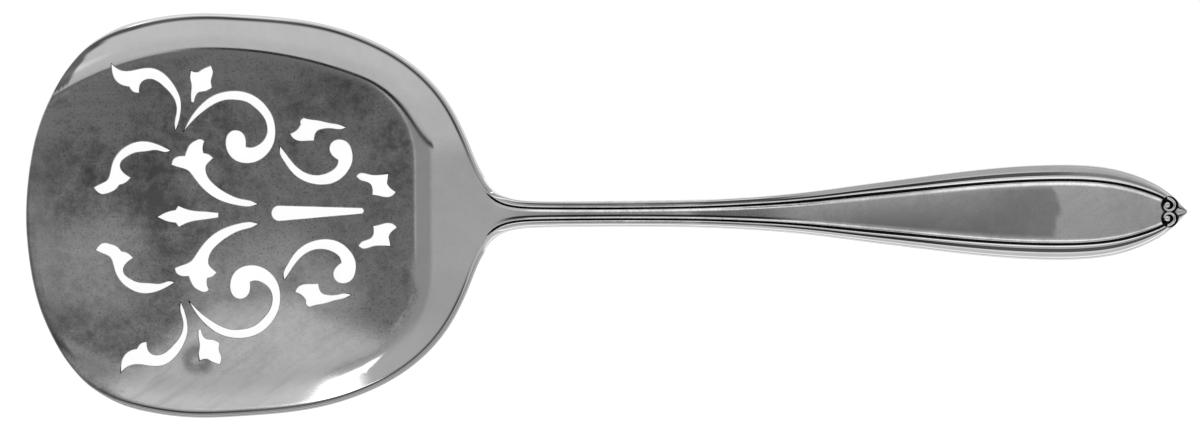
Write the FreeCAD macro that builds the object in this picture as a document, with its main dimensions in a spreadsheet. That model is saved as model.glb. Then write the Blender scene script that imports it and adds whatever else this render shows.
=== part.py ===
import FreeCAD, Part
import math
import os
import Sketcher
from FreeCAD import Vector

# A tomato server in one piece: a broad, shallow dished blade with a pierced scroll pattern,
# and an arched handle with a sunk panel, a thread border and two volutes at the tip.
# Millimetres, +Z up. While it is built, x runs from the front edge of the blade (x = 0) to the
# tip of the handle, y = 0 is the long axis and z = 0 is the flat underside of the blade.
# The finished part is moved so that the origin is under the middle of its length.

os.makedirs("parts", exist_ok=True)
doc = FreeCAD.newDocument("tomato_server")

# Driving dimensions
DIMENSIONS = {
    "handle_length": 119.0,
    "sheet_thickness": 1.4,
    "edge_radius": 0.4,
    "flat_zone_half_width": 29.6,
    "flat_zone_widest_at": 31.0,
    "flat_zone_side_radius": 71.7,
    "flat_zone_front_radius": 50.0,
    "rear_wall_run": 10.3,
    "root_flat_margin": 2.8,
    "flat_zone_front": -6.0,
    "pan_depth": 8.0,
    "wall_slope": 20.0,
    "bend_radius": 12.0,
    "blade_root": 78.0,
    "blade_root_half_width": 6.2,
    "pattern_pivot": 38.1,
    "pattern_shift": 0.2,
    "pattern_tilt": 1.5,
    "teardrop_front": 41.7,
    "teardrop_rear": 57.3,
    "teardrop_round_radius": 1.25,
    "teardrop_end_radius": 0.45,
    "arch_rise_reach": 45.0,
    "arch_fall_reach": 40.0,
    "tip_height": 1.6,
    "tip_slope": 9.0,
    "border_slim": 1.0,
    "border_broad": 2.65,
    "border_fall": 0.55,
    "panel_drop": 0.34,
    "panel_dish": 0.15,
    "thread_groove_depth": 0.3,
    "thread_band": 0.95,
    "handle_edge_radius": 0.45,
    "volute_from_end": 3.1,
    "volute_offset": 1.15,
    "volute_radius": 1.22,
    "volute_height": 0.08,
    "volute_depth": 0.9,
    "volute_groove_radius": 0.66,
    "volute_groove_width": 0.28,
    "eye_radius": 0.56,
    "eye_offset": 0.32,
    "tip_groove_radius": 1.46,
    "tip_groove_width": 0.36,
    "tip_groove_lift": 0.05,
}

sheet = doc.addObject("Spreadsheet::Sheet", "dimensions")
for row, (alias, value) in enumerate(DIMENSIONS.items(), start=1):
    sheet.set("A%d" % row, alias)
    sheet.set("B%d" % row, str(value))
    sheet.setAlias("B%d" % row, alias)
doc.recompute()


def size(alias):
    return float(sheet.get(alias))


def overall_length():
    return size("blade_root") + size("handle_length")


def flat_zone_rear():
    return size("blade_root") - size("rear_wall_run")


# Half outline of the blade: distance from the front edge, half width
BLADE_HALF_OUTLINE = [
    (0.55, 7.6), (2.2, 15.25), (4.25, 20.2), (6.3, 23.8), (8.3, 26.4), (10.3, 28.45), (12.4, 30.0),
    (16.4, 32.1), (20.5, 33.25), (26.6, 34.15), (30.7, 34.3), (36.8, 34.05), (42.9, 33.6),
    (51.0, 32.3), (55.1, 31.1), (59.1, 29.5), (63.2, 27.3), (67.3, 24.2), (71.3, 19.7),
    (73.4, 16.2), (75.4, 11.8), (77.3, 7.4),
]

# Stations along the handle: distance from the blade root, half width, thickness, share of the relief
HANDLE_STATIONS = [
    (1.2, 4.55, 1.55, 0.8), (2.6, 3.5, 1.8, 1.0), (4.2, 2.86, 2.1, 1.0), (6.2, 2.5, 2.4, 1.0),
    (9.5, 2.32, 2.7, 1.0), (15.0, 2.25, 2.9, 1.0), (22.0, 2.22, 2.95, 1.0), (29.0, 2.27, 2.85, 1.0),
    (36.3, 2.42, 2.75, 1.0), (43.1, 2.74, 2.65, 1.0), (49.9, 3.22, 2.55, 1.0), (56.7, 3.95, 2.45, 1.0),
    (63.4, 4.85, 2.38, 1.0), (70.2, 5.72, 2.3, 1.0), (77.0, 6.6, 2.22, 1.0), (87.2, 7.68, 2.15, 1.0),
    (97.3, 8.12, 2.05, 1.0), (104.1, 7.75, 1.95, 1.0), (107.5, 7.12, 1.85, 1.0), (110.9, 6.02, 1.75, 1.0),
    (113.3, 4.95, 1.68, 1.0), (115.4, 3.68, 1.62, 0.9), (117.3, 1.98, 1.56, 0.5),
    (118.3, 0.92, 1.52, 0.3), (119.0, 0.16, 1.5, 0.1),
]

# The pierced shapes of one half, each a run of stretches between corners.
# A stretch is a list of points from the front edge along the pattern axis and up from it.
CORNER_SCROLL = [
    [(15.3, 26.2), (16.4, 25.2), (17.6, 24.85), (19.0, 24.95), (20.8, 25.25), (22.4, 25.15),
     (23.6, 24.6), (25.1, 23.2), (26.2, 21.4), (26.8, 19.5), (26.7, 17.5), (26.2, 15.6), (25.8, 14.6)],
    [(25.8, 14.6), (25.7, 15.6), (26.1, 17.8), (26.0, 19.3), (25.2, 20.9), (24.2, 22.0),
     (22.9, 23.1), (21.5, 23.5), (20.4, 23.1), (19.9, 22.3), (19.8, 21.2)],
    [(19.8, 21.2), (18.9, 21.4), (18.2, 22.3)],
    [(18.2, 22.3), (17.0, 22.6), (15.9, 23.5), (15.4, 24.8), (15.3, 26.2)],
]
OUTER_BUD = [
    [(28.75, 24.6), (29.3, 24.35), (30.0, 24.3)],
    [(30.0, 24.3), (31.0, 24.9), (32.1, 25.3)],
    [(32.1, 25.3), (32.4, 24.2), (32.05, 23.0), (32.15, 21.7)],
    [(32.15, 21.7), (31.0, 21.15), (29.9, 20.95), (29.35, 20.3), (29.05, 19.3)],
    [(29.05, 19.3), (28.65, 19.4)],
    [(28.65, 19.4), (28.65, 20.8), (28.8, 22.2), (28.6, 23.4), (28.75, 24.6)],
]
BIG_SCROLL = [
    [(27.2, 14.4), (28.7, 17.0), (30.2, 18.7), (32.1, 20.1), (34.5, 20.85), (36.9, 20.85),
     (39.3, 20.0), (41.2, 18.3), (42.4, 16.1), (42.7, 13.9), (42.3, 11.8), (41.0, 9.95),
     (39.0, 8.85), (37.3, 8.75), (35.9, 9.2), (34.9, 10.1), (34.35, 11.4), (34.3, 12.6),
     (34.6, 13.5), (35.3, 14.15), (36.2, 14.25), (37.1, 13.8), (37.6, 12.8), (37.6, 11.4)],
    [(37.6, 11.4), (38.4, 11.25), (39.7, 11.6), (40.7, 12.4), (41.3, 13.5), (41.35, 15.0),
     (40.8, 16.5), (39.5, 18.0), (38.0, 19.1), (36.3, 19.5), (34.5, 19.55), (32.5, 18.9),
     (30.6, 17.7), (28.9, 16.3), (27.2, 14.4)],
]
SIDE_LEAF = [
    [(11.7, 5.3), (12.9, 5.9), (14.0, 6.5), (14.55, 7.8), (14.95, 9.3), (15.9, 10.9), (17.3, 12.05),
     (19.0, 12.75), (20.8, 12.8), (22.2, 12.45), (23.6, 11.85), (24.8, 11.2)],
    [(24.8, 11.2), (24.2, 11.0), (22.6, 11.35), (20.8, 11.25), (18.8, 11.05), (17.2, 10.3),
     (16.3, 9.4), (16.2, 8.6), (16.8, 7.6), (17.9, 6.8)],
    [(17.9, 6.8), (17.0, 6.0), (16.0, 5.7)],
    [(16.0, 5.7), (15.3, 4.9), (14.0, 4.35), (13.0, 4.2), (12.2, 4.65), (11.7, 5.3)],
]
FLOWER = [
    [(25.0, 8.8), (25.3, 9.65), (26.1, 10.1), (27.3, 10.15)],
    [(27.3, 10.15), (27.65, 11.2), (28.2, 12.1), (29.1, 12.7), (30.1, 12.9), (30.6, 12.6)],
    [(30.6, 12.6), (30.3, 11.5), (30.4, 10.55)],
    [(30.4, 10.55), (31.3, 10.3), (32.0, 9.7)],
    [(32.0, 9.7), (31.3, 9.1), (30.75, 8.4), (30.7, 7.5), (31.2, 6.2), (32.4, 4.9), (34.5, 3.45),
     (36.5, 2.6), (38.5, 2.1), (39.3, 1.7)],
    [(39.3, 1.7), (38.5, 1.45), (36.5, 1.5), (34.6, 1.95), (32.0, 3.1), (29.7, 5.2), (28.6, 6.7),
     (27.6, 7.85), (26.4, 8.3), (25.0, 8.8)],
]
HOOK_SCROLL = [
    [(43.5, 11.3), (43.4, 10.3), (44.1, 8.8), (45.4, 6.9), (47.0, 5.6), (49.0, 4.85), (51.0, 4.7),
     (53.0, 5.25), (54.7, 6.7), (55.6, 8.5), (55.55, 10.3), (54.9, 11.6), (53.6, 12.15),
     (52.4, 11.8), (51.85, 10.7), (52.2, 9.7), (53.3, 8.75)],
    [(53.3, 8.75), (53.1, 7.9), (52.0, 6.85), (50.5, 6.3), (48.8, 6.3), (47.1, 7.0), (45.5, 8.5),
     (44.4, 10.0), (43.5, 11.3)],
]
LONG_BUD = [
    [(45.3, 13.4), (46.4, 14.0), (47.1, 14.9)],
    [(47.1, 14.9), (47.1, 15.6), (47.6, 16.0)],
    [(47.6, 16.0), (48.5, 15.75), (50.0, 15.5), (52.0, 15.0), (53.8, 14.6), (54.7, 14.2)],
    [(54.7, 14.2), (54.0, 14.0), (52.0, 14.2), (50.6, 14.1), (49.8, 13.8), (49.35, 13.0), (49.2, 12.2)],
    [(49.2, 12.2), (48.0, 12.2), (46.6, 12.25), (45.7, 12.75), (45.3, 13.4)],
]
REAR_BUD = [
    [(56.3, 5.9), (56.8, 6.3), (58.4, 6.1), (60.2, 5.95), (61.65, 6.1)],
    [(61.65, 6.1), (61.5, 5.2), (61.4, 4.6), (61.9, 3.7), (62.8, 3.0)],
    [(62.8, 3.0), (62.2, 2.45), (61.1, 2.25), (60.0, 2.5), (58.9, 2.7)],
    [(58.9, 2.7), (58.95, 3.5), (58.7, 4.4), (57.9, 4.95), (56.8, 5.35), (56.3, 5.9)],
]
PIERCED_PAIRS = [
    CORNER_SCROLL, OUTER_BUD, BIG_SCROLL, SIDE_LEAF, FLOWER, HOOK_SCROLL, LONG_BUD, REAR_BUD,
]

# Upper half of the arrow leaf on the pattern axis, from its front point to its rear end
ARROW_LEAF_HALF = [
    [(22.3, 0.0), (23.1, 0.4), (24.1, 0.8), (25.4, 1.05)],
    [(25.4, 1.05), (25.9, 1.75)],
    [(25.9, 1.75), (27.2, 1.15), (28.6, 0.8), (30.5, 0.6), (32.6, 0.35)],
    [(32.6, 0.35), (32.6, -0.35)],
]


# Sketch helpers
def sketch_on_ground(owner, name):
    if owner is doc:
        sketch = doc.addObject("Sketcher::SketchObject", name)
    else:
        sketch = owner.newObject("Sketcher::SketchObject", name)
        ground = [item for item in owner.Origin.OriginFeatures if item.Role == "XY_Plane"][0]
        sketch.AttachmentSupport = (ground, [""])
        sketch.MapMode = "FlatFace"
    return sketch


def stretch_curve(points):
    corners = [Vector(x, y, 0) for x, y in points]
    if len(corners) == 2:
        return Part.LineSegment(corners[0], corners[1])
    curve = Part.BSplineCurve()
    curve.interpolate(corners)
    return curve


def mirrored(stretches):
    return [[(x, -y) for x, y in stretch] for stretch in stretches]


# The dish: a flat zone with a soft bend up to a sloping wall, open beyond the front edge.
# Its rear side is straight over the width of the handle's root, so that the handle grows out of
# a plane, and each corner arc is tangent to that side and to the long side arc. Toward the front
# each side goes on in a tighter arc, tangent to the first where the flat zone is widest.
def flat_zone_geometry():
    rear = flat_zone_rear()
    side_radius = size("flat_zone_side_radius")
    side_x = size("flat_zone_widest_at")
    front = size("flat_zone_front")
    side_y = size("flat_zone_half_width") - side_radius
    corner_y = size("blade_root_half_width") + size("root_flat_margin")
    along = rear - side_x
    up = corner_y - side_y
    corner_radius = (side_radius ** 2 - along ** 2 - up ** 2) / (2 * (side_radius - along))
    corner_x = rear - corner_radius
    joint = math.atan2(corner_y - side_y, corner_x - side_x)
    front_radius = size("flat_zone_front_radius")
    front_centre_y = size("flat_zone_half_width") - front_radius
    end = math.acos((front - side_x) / front_radius)
    front_y = front_centre_y + front_radius * math.sin(end)
    full = 2 * math.pi
    axis = Vector(0, 0, 1)
    return [
        Part.LineSegment(Vector(rear, -corner_y, 0), Vector(rear, corner_y, 0)),
        Part.ArcOfCircle(Part.Circle(Vector(corner_x, corner_y, 0), axis, corner_radius), 0, joint),
        Part.ArcOfCircle(Part.Circle(Vector(side_x, side_y, 0), axis, side_radius), joint, full / 4),
        Part.ArcOfCircle(Part.Circle(Vector(side_x, front_centre_y, 0), axis, front_radius), full / 4, end),
        Part.LineSegment(Vector(front, front_y, 0), Vector(front, -front_y, 0)),
        Part.ArcOfCircle(Part.Circle(Vector(side_x, -front_centre_y, 0), axis, front_radius), full - end, 0.75 * full),
        Part.ArcOfCircle(Part.Circle(Vector(side_x, -side_y, 0), axis, side_radius), 0.75 * full, full - joint),
        Part.ArcOfCircle(Part.Circle(Vector(corner_x, -corner_y, 0), axis, corner_radius), full - joint, full),
    ]


def make_dish():
    under = doc.addObject("PartDesign::Body", "dish_under_body")
    flat_zone = sketch_on_ground(under, "flat_zone")
    flat_zone.addGeometry(flat_zone_geometry(), False)
    pan = under.newObject("PartDesign::Pad", "pan")
    pan.Profile = flat_zone
    pan.setExpression("Length", "dimensions.pan_depth")
    pan.setExpression("TaperAngle", "90 - dimensions.wall_slope")
    doc.recompute()
    ground_edges = [
        "Edge%d" % number for number, edge in enumerate(pan.Shape.Edges, start=1)
        if edge.BoundBox.ZMax < 0.01
    ]
    bend = under.newObject("PartDesign::Fillet", "bend")
    bend.Base = (pan, ground_edges)
    bend.setExpression("Radius", "dimensions.bend_radius")
    inside = doc.addObject("Part::Compound", "dish_inside")
    inside.Links = [under]
    inside.setExpression(".Placement.Base.z", "dimensions.sheet_thickness")
    dish = doc.addObject("Part::Cut", "dished_sheet")
    dish.Base = under
    dish.Tool = inside
    return dish


# The blade blank: the dished sheet trimmed to the outline, with rounded edges
def make_blade(dish):
    outline = sketch_on_ground(doc, "blade_outline")
    root = (size("blade_root"), size("blade_root_half_width"))
    half = BLADE_HALF_OUTLINE + [root]
    left = list(reversed(half))
    right = [(x, -y) for x, y in half]
    edge_curve = stretch_curve(left + [(0.0, 0.0)] + right)
    root_line = stretch_curve([(root[0], -root[1]), root])
    outline.addGeometry([edge_curve, root_line], False)
    outline.setExpression(".Placement.Base.z", "-dimensions.sheet_thickness")
    block = doc.addObject("Part::Extrusion", "outline_block")
    block.Base = outline
    block.DirMode = "Custom"
    block.Dir = Vector(0, 0, 1)
    block.Solid = True
    block.setExpression("LengthFwd", "dimensions.pan_depth + dimensions.sheet_thickness")
    blank = doc.addObject("Part::Common", "trimmed_sheet")
    blank.Base = dish
    blank.Tool = block
    doc.recompute()

    rounded = doc.addObject("Part::Fillet", "blade")
    rounded.Base = blank
    radius = size("edge_radius")
    rim = []
    for number, edge in enumerate(blank.Shape.Edges, start=1):
        middle = (edge.FirstParameter + edge.LastParameter) / 2
        point = edge.valueAt(middle)
        on_curve = edge_curve.value(edge_curve.parameter(Vector(point.x, point.y, 0)))
        apart = math.hypot(on_curve.x - point.x, on_curve.y - point.y)
        if apart < 0.001 and abs(edge.tangentAt(middle).z) < 0.9:
            rim.append((number, radius, radius))
    rounded.Edges = rim
    doc.recompute()
    return rounded


# The arched line that the top of the handle follows
def arch_point(share):
    slope = math.radians(size("wall_slope"))
    fall = math.radians(size("tip_slope"))
    start_x = size("blade_root")
    start_z = size("sheet_thickness") + size("rear_wall_run") * math.tan(slope)
    rise = size("arch_rise_reach")
    drop = size("arch_fall_reach")
    end_x = overall_length()
    end_z = size("tip_height")
    xs = (start_x, start_x + rise * math.cos(slope), end_x - drop * math.cos(fall), end_x)
    zs = (start_z, start_z + rise * math.sin(slope), end_z + drop * math.sin(fall), end_z)
    weights = ((1 - share) ** 3, 3 * share * (1 - share) ** 2, 3 * share ** 2 * (1 - share), share ** 3)
    x = sum(weight * value for weight, value in zip(weights, xs))
    z = sum(weight * value for weight, value in zip(weights, zs))
    return x, z


def arch_height(x):
    low = 0.0
    high = 1.0
    for step in range(50):
        middle = (low + high) / 2
        if arch_point(middle)[0] < x:
            low = middle
        else:
            high = middle
    return arch_point((low + high) / 2)[1]


# One section of the handle: places of its corners across and below the arched line
def border_width(half_width):
    slim_half_width = min(station[1] for station in HANDLE_STATIONS[4:12])
    broad_half_width = max(station[1] for station in HANDLE_STATIONS)
    grown = (half_width - slim_half_width) / (broad_half_width - slim_half_width)
    return size("border_slim") + grown * (size("border_broad") - size("border_slim"))


def section_corners(half_width, thickness, relief):
    border = border_width(half_width)
    groove_depth = relief * size("thread_groove_depth")
    fall = relief * size("border_fall") * border / size("border_broad")
    drop = relief * size("panel_drop")
    band = size("thread_band")
    slim_half_width = min(station[1] for station in HANDLE_STATIONS[4:12])
    shrink = min(1.0, half_width / slim_half_width)
    if shrink < 1.0:
        border = border_width(slim_half_width) * shrink
    groove = half_width - border
    edge = size("handle_edge_radius") * shrink
    return {
        "panel": (groove - band * shrink, -drop),
        "thread": (groove - 0.3 * band * shrink, -0.15 * drop),
        "groove": (groove, -0.15 * drop - groove_depth),
        "border_foot": (groove + 0.22 * band * shrink, -0.15 * fall),
        "border_top": (half_width - 0.6 * border, 0.0),
        "border_side": (half_width - 0.17 * border, -0.45 * fall - 0.1 * relief),
        "edge_top": (half_width, -fall - 0.25 * relief),
        "edge_bottom": (half_width, edge - thickness),
        "under": (half_width - edge, -thickness),
    }


def section_wire(x, corners, edge_curves=None):
    top = arch_height(x)

    def place(name, side):
        y, z = corners[side][name]
        return Vector(x, side * y, top + z)

    def line(first, second):
        return Part.LineSegment(first, second).toShape()

    def arc(first, middle, last):
        straight = (last - first).Length
        off_line = middle.distanceToLine(first, last - first)
        if off_line < 0.001 * straight:
            return line(first, last)
        return Part.Arc(first, middle, last).toShape()

    def quarter(first, last, bulge):
        middle = (first + last) * 0.5
        across = Vector(0, last.z - first.z, first.y - last.y)
        across.normalize()
        return Part.Arc(first, middle + across * bulge, last).toShape()

    names = ["border_foot", "groove", "thread", "panel"]
    half_panel = corners[1]["panel"][0]
    dish = size("panel_dish") * max(0.0, half_panel - 0.5) / 5
    panel_middle = Vector(x, 0, top + corners[1]["panel"][1] - dish)
    edges = [line(place("under", -1), place("under", 1))]
    for side in (1, -1):
        part = []
        if edge_curves:
            part.append(edge_curves[side]["low"])
        else:
            reach = (place("edge_bottom", side) - place("under", side)).Length
            part.append(quarter(place("under", side), place("edge_bottom", side), side * 0.2 * reach))
        part.append(line(place("edge_bottom", side), place("edge_top", side)))
        if edge_curves:
            part.append(edge_curves[side]["high"])
        else:
            reach = (place("edge_top", side) - place("border_side", side)).Length
            part.append(quarter(place("edge_top", side), place("border_side", side), side * 0.12 * reach))
        part.append(arc(place("border_side", side), place("border_top", side), place("border_foot", side)))
        for first, second in zip(names, names[1:]):
            part.append(line(place(first, side), place(second, side)))
        if side == 1:
            part.append(arc(place("panel", 1), panel_middle, place("panel", -1)))
            edges.extend(part)
        else:
            edges.extend(reversed(part))
    return Part.Wire(edges)


# The section where the handle grows out of the blade repeats the end face of the blade
def root_section(blade):
    x = size("blade_root")
    end_face = max(blade.Shape.Faces, key=lambda face: face.CenterOfMass.x)
    curves = {1: {}, -1: {}}
    flat = section_corners(size("blade_root_half_width"), size("sheet_thickness"), 0.0)
    corners = {1: dict(flat), -1: dict(flat)}
    top = arch_height(x)
    for edge in end_face.OuterWire.Edges:
        first, last = [vertex.Point for vertex in edge.Vertexes]
        if abs(first.y - last.y) < 0.001 or abs(first.z - last.z) < 0.001:
            continue
        middle = edge.CenterOfMass
        side = 1 if middle.y > 0 else -1
        level = "high" if middle.z > top - size("sheet_thickness") / 2 else "low"
        curves[side][level] = edge
        outer, inner = sorted((first, last), key=lambda point: -abs(point.y))
        if level == "high":
            corners[side]["edge_top"] = (abs(outer.y), outer.z - top)
            corners[side]["border_side"] = (abs(inner.y), inner.z - top)
        else:
            corners[side]["edge_bottom"] = (abs(outer.y), outer.z - top)
            corners[side]["under"] = (abs(inner.y), inner.z - top)
    return section_wire(x, corners, curves)


def make_handle(blade):
    wires = [root_section(blade)]
    stretch = size("handle_length") / HANDLE_STATIONS[-1][0]
    for distance, half_width, thickness, relief in HANDLE_STATIONS:
        corners = section_corners(half_width, thickness, relief)
        x = size("blade_root") + stretch * distance
        wires.append(section_wire(x, {1: corners, -1: corners}))
    handle = doc.addObject("Part::Feature", "handle")
    handle.Shape = Part.makeLoft(wires, True, False)
    handle.Placement = FreeCAD.Placement()
    return handle


# Tip of the handle: two volutes with round eyes, and the grooves that set off the point
def tip_placement(along, across, above):
    x = overall_length() - size("volute_from_end")
    slope = math.degrees(math.atan2(arch_height(x - 1) - arch_height(x + 1), 2))
    turn = FreeCAD.Rotation(Vector(0, 1, 0), slope)
    base = Vector(x, 0, arch_height(x))
    return FreeCAD.Placement(base + turn.multVec(Vector(along, across, above)), turn)


def make_volute(side):
    name = "left" if side > 0 else "right"
    across = side * size("volute_offset")
    disc = doc.addObject("Part::Cylinder", name + "_volute_disc")
    disc.setExpression("Radius", "dimensions.volute_radius")
    disc.setExpression("Height", "dimensions.volute_depth + dimensions.volute_height")
    disc.Placement = tip_placement(0, across, -size("volute_depth"))
    groove = doc.addObject("Part::Torus", name + "_volute_groove")
    groove.setExpression("Radius1", "dimensions.volute_groove_radius")
    groove.setExpression("Radius2", "dimensions.volute_groove_width / 2")
    groove.Angle3 = 190
    start = -110 if side > 0 else -80
    place = tip_placement(0, across, size("volute_height"))
    spin = FreeCAD.Rotation(Vector(0, 0, 1), start)
    groove.Placement = FreeCAD.Placement(place.Base, place.Rotation.multiply(spin))
    eye = doc.addObject("Part::Sphere", name + "_eye")
    eye.setExpression("Radius", "dimensions.eye_radius")
    lift = size("volute_height") - 0.6 * size("eye_radius")
    eye.Placement = tip_placement(-size("eye_offset"), across, lift)
    return disc, groove, eye


def make_tip_groove(side):
    name = "left" if side > 0 else "right"
    groove = doc.addObject("Part::Torus", name + "_tip_groove")
    groove.setExpression("Radius1", "dimensions.tip_groove_radius")
    groove.setExpression("Radius2", "dimensions.tip_groove_width / 2")
    groove.Angle3 = 130
    place = tip_placement(0, side * size("volute_offset"), size("tip_groove_lift"))
    spin = FreeCAD.Rotation(Vector(0, 0, 1), -65)
    groove.Placement = FreeCAD.Placement(place.Base, place.Rotation.multiply(spin))
    return groove


# The piercings: one sketch in the pattern's own frame, turned a little against the blade
def teardrop_geometry():
    front = size("teardrop_front")
    rear = size("teardrop_rear")
    big = size("teardrop_round_radius")
    small = size("teardrop_end_radius")
    pivot = size("pattern_pivot")
    big_x = front + big - pivot
    small_x = rear - small - pivot
    lean = math.acos((big - small) / (small_x - big_x))
    axis = Vector(0, 0, 1)
    big_end = Part.ArcOfCircle(Part.Circle(Vector(big_x, 0, 0), axis, big), lean, 2 * math.pi - lean)
    small_end = Part.ArcOfCircle(Part.Circle(Vector(small_x, 0, 0), axis, small), -lean, lean)
    sides = []
    for side in (1, -1):
        unit = Vector(math.cos(lean), side * math.sin(lean), 0)
        sides.append(Part.LineSegment(Vector(big_x, 0, 0) + unit * big, Vector(small_x, 0, 0) + unit * small))
    return [big_end, sides[0], small_end, sides[1]]


def make_piercings():
    pattern = sketch_on_ground(doc, "piercing_pattern")
    pivot = size("pattern_pivot")
    loops = []
    for shape in PIERCED_PAIRS:
        loops.append(shape)
        loops.append(mirrored(shape))
    front_of_leaf = ARROW_LEAF_HALF
    back_of_leaf = [list(reversed(stretch)) for stretch in reversed(mirrored(ARROW_LEAF_HALF[:-1]))]
    loops.append(front_of_leaf + back_of_leaf)
    for loop in loops:
        curves = [stretch_curve([(x - pivot, y) for x, y in stretch]) for stretch in loop]
        pattern.addGeometry(curves, False)
    pattern.addGeometry(teardrop_geometry(), False)
    pattern.setExpression(".Placement.Base.x", "dimensions.pattern_pivot")
    pattern.setExpression(".Placement.Base.y", "dimensions.pattern_shift")
    pattern.setExpression(".Placement.Base.z", "-dimensions.sheet_thickness")
    pattern.setExpression(".Placement.Rotation.Angle", "dimensions.pattern_tilt")
    tools = doc.addObject("Part::Extrusion", "piercing_tools")
    tools.Base = pattern
    tools.DirMode = "Custom"
    tools.Dir = Vector(0, 0, 1)
    tools.Solid = True
    tools.FaceMakerClass = "Part::FaceMakerBullseye"
    tools.setExpression("LengthFwd", "dimensions.pan_depth + dimensions.sheet_thickness")
    doc.recompute()
    return tools


# Assembly of the one piece
dish = make_dish()
blade = make_blade(dish)
handle = make_handle(blade)
left_disc, left_groove, left_eye = make_volute(1)
right_disc, right_groove, right_eye = make_volute(-1)
tip_grooves = [make_tip_groove(1), make_tip_groove(-1)]

pierced_blade = doc.addObject("Part::Cut", "pierced_blade")
pierced_blade.Base = blade
pierced_blade.Tool = make_piercings()

body = doc.addObject("Part::MultiFuse", "blade_and_handle")
body.Shapes = [pierced_blade, handle, left_disc, right_disc]
carving = doc.addObject("Part::MultiFuse", "tip_carving")
carving.Shapes = [left_groove, right_groove] + tip_grooves
carved = doc.addObject("Part::Cut", "carved_body")
carved.Base = body
carved.Tool = carving
server = doc.addObject("Part::MultiFuse", "server")
server.Shapes = [carved, left_eye, right_eye]
server.Label = "tomato_server"
server.setExpression(".Placement.Base.x", "-(dimensions.blade_root + dimensions.handle_length) / 2")
doc.recompute()

# Health of every object, then the export
for item in doc.Objects:
    if "Invalid" in item.State or "Error" in item.State:
        raise RuntimeError("not rebuilt: " + item.Name)
    if hasattr(item, "Shape") and item.TypeId not in ("App::Origin", "App::Plane", "App::Line", "App::Point"):
        if item.Shape.isNull():
            raise RuntimeError("no shape: " + item.Name)
for item in (blade, handle, pierced_blade, carved, server):
    if not item.Shape.isValid():
        raise RuntimeError("bad shape: " + item.Name)
if len(server.Shape.Solids) != 1:
    raise RuntimeError("the server is not one solid")

server.Shape.exportStep("parts/tomato_server.step")
print("volume mm3", round(server.Shape.Volume, 1))
print("box", server.Shape.optimalBoundingBox(True, False))
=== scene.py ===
import math

import bpy
import numpy as np
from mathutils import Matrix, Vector
from mathutils.geometry import delaunay_2d_cdt


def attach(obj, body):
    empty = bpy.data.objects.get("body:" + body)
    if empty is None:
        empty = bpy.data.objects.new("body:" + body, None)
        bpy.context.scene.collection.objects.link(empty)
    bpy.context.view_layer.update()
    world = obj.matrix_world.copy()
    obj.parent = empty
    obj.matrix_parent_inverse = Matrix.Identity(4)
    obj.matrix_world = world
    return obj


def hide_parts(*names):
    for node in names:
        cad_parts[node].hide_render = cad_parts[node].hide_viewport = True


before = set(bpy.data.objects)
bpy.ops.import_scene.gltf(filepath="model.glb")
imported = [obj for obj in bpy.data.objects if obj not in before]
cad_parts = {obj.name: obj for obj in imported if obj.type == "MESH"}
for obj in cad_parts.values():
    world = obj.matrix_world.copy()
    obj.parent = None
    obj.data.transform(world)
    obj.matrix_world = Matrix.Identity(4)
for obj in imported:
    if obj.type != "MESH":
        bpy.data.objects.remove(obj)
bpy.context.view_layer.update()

# A silver-plated tomato server with a pierced blade, seen from straight above.
# Shapes are worked out in millimetres, with x from the front edge of the blade, and are turned
# into metres in the frame of the CAD model when the mesh is made.

MM = 0.001
LENGTH = 197.0
ORIGIN_X = LENGTH / 2

# Blade
SHEET = 1.4
BLADE_ROOT = 78.0
FLAT_HALF_WIDTH = 29.6
FLAT_WIDEST_AT = 31.0
FLAT_SIDE_RADIUS = 71.7
FLAT_FRONT_RADIUS = 50.0
REAR_WALL_RUN = 10.3
ROOT_STRAIGHT = 9.0
WALL_SLOPE = math.radians(20.0)
BEND_RADIUS = 12.0
TOP_ROUND = 1.15
FRONT_ROUND = 0.3
UNDER_ROUND = 0.2
HANDLE_ROUND = 0.35
GRID_STEP = 0.85
OUTLINE_STEP = 0.45
# Rings on the upper face inside its rounded edge, set wider apart at the front
LEAD_RINGS = (0.66, 0.54, 0.42, 0.30, 0.15)
FRONT_WIDENING = 2.6

# Piercings
PATTERN_PIVOT = 38.1
PATTERN_SHIFT = 0.2
PATTERN_TILT = math.radians(1.5)
HOLE_BEVEL = 0.12
HOLE_STEP = 0.16
TEARDROP_FRONT = 41.7
TEARDROP_REAR = 57.3
TEARDROP_RADIUS = 1.25
TEARDROP_END_RADIUS = 0.45

# Handle
ARCH_RISE_REACH = 45.0
ARCH_FALL_REACH = 40.0
TIP_HEIGHT = 1.6
TIP_SLOPE = math.radians(9.0)
BORDER_SLIM = 1.3
BORDER_BROAD = 2.65
SLIM_HALF_WIDTH = 2.22
BROAD_HALF_WIDTH = 8.12
BORDER_FALL = 0.55
PANEL_DROP = 0.34
PANEL_DISH = 0.15
GROOVE_DEPTH = 0.3
THREAD_SLIM = 0.7
THREAD_BROAD = 1.1
END_STRETCH = 8.0
ROOT_STEP = 0.2
HANDLE_STEP = 0.6
TIP_STEP = 0.08

# Tip
VOLUTE_FROM_END = 3.1
VOLUTE_OFFSET = 1.15
VOLUTE_RADIUS = 0.92
RING_BEAD = 0.23
EYE_RADIUS = 0.56
EYE_OFFSET = 0.32
SINK_RADIUS = 1.47
SINK_DEPTH = 0.32

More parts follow.
